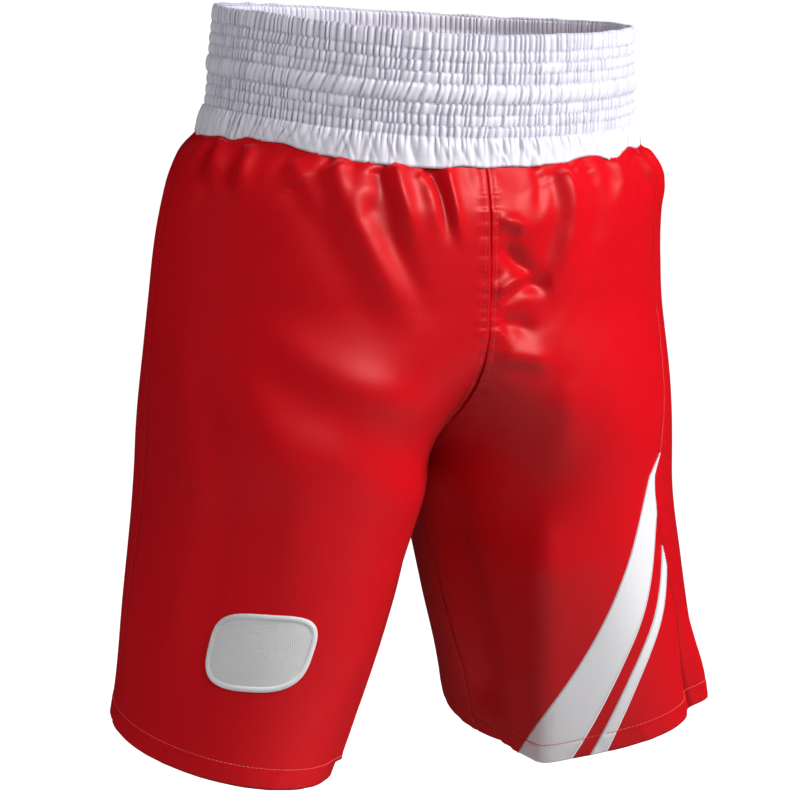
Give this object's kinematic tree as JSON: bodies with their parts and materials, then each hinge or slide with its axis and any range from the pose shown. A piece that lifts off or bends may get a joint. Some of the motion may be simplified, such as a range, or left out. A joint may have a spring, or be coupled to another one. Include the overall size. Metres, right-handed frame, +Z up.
{
  "type": "boxing shorts",
  "caption": "Long satin boxing shorts with a wide shirred elastic waistband, loose legs, applied bands on one leg and a blank patch on the other",
  "frame": {"origin": "middle of the waistband's top rim", "axes": "+Z up, out of the waist opening; the wearer faces -Y and the right leg is on -X"},
  "size_m": [0.4312, 0.2646, 0.52],
  "materials": {
    "band_satin": "satin",
    "band_elastic": "matt",
    "band_thread": "matt",
    "red_satin": "satin",
    "red_thread": "matt",
    "white_trim": "satin",
    "patch_fabric": "matt",
    "patch_thread": "satin",
    "label_tape": "matt"
  },
  "bodies": {
    "hips": {"waistband_casing": "band_satin", "elastic_1": "band_elastic", "elastic_2": "band_elastic", "elastic_3": "band_elastic", "elastic_4": "band_elastic", "elastic_5": "band_elastic", "elastic_6": "band_elastic", "elastic_7": "band_elastic", "shirring_threads": "band_thread", "waist_seam_thread": "red_thread", "care_label": "label_tape", "right_front_panel": "red_satin", "right_back_panel": "red_satin", "left_front_panel": "red_satin", "left_back_panel": "red_satin", "front_rise_topstitch": "red_thread", "back_rise_topstitch": "red_thread", "right_hip_seam_thread": "red_thread", "left_hip_seam_thread": "red_thread", "right_thigh_bend": "red_satin", "left_thigh_bend": "red_satin"},
    "right_leg": {"right_front_leg": "red_satin", "right_back_leg": "red_satin", "right_side_seam_thread": "red_thread", "right_inseam_thread": "red_thread", "right_hem": "red_satin", "right_hem_thread": "red_thread", "blank_patch": "patch_fabric", "patch_border": "patch_thread"},
    "left_leg": {"left_front_leg": "red_satin", "left_back_leg": "red_satin", "left_side_seam_thread": "red_thread", "left_inseam_thread": "red_thread", "left_hem": "red_satin", "left_hem_thread": "red_thread", "broad_band": "white_trim", "thin_tape": "white_trim"}
  },
  "joints": [
    {"name": "right_leg_swing", "type": "hinge", "parent": "hips", "child": "right_leg", "pos_m": [-0.11, 0, -0.305], "axis": [1, 0, 0], "range_deg": [-15, 15], "deforming": ["right_thigh_bend"]},
    {"name": "left_leg_swing", "type": "hinge", "parent": "hips", "child": "left_leg", "pos_m": [0.11, 0, -0.305], "axis": [1, 0, 0], "range_deg": [-15, 15], "deforming": ["left_thigh_bend"]}
  ]
}
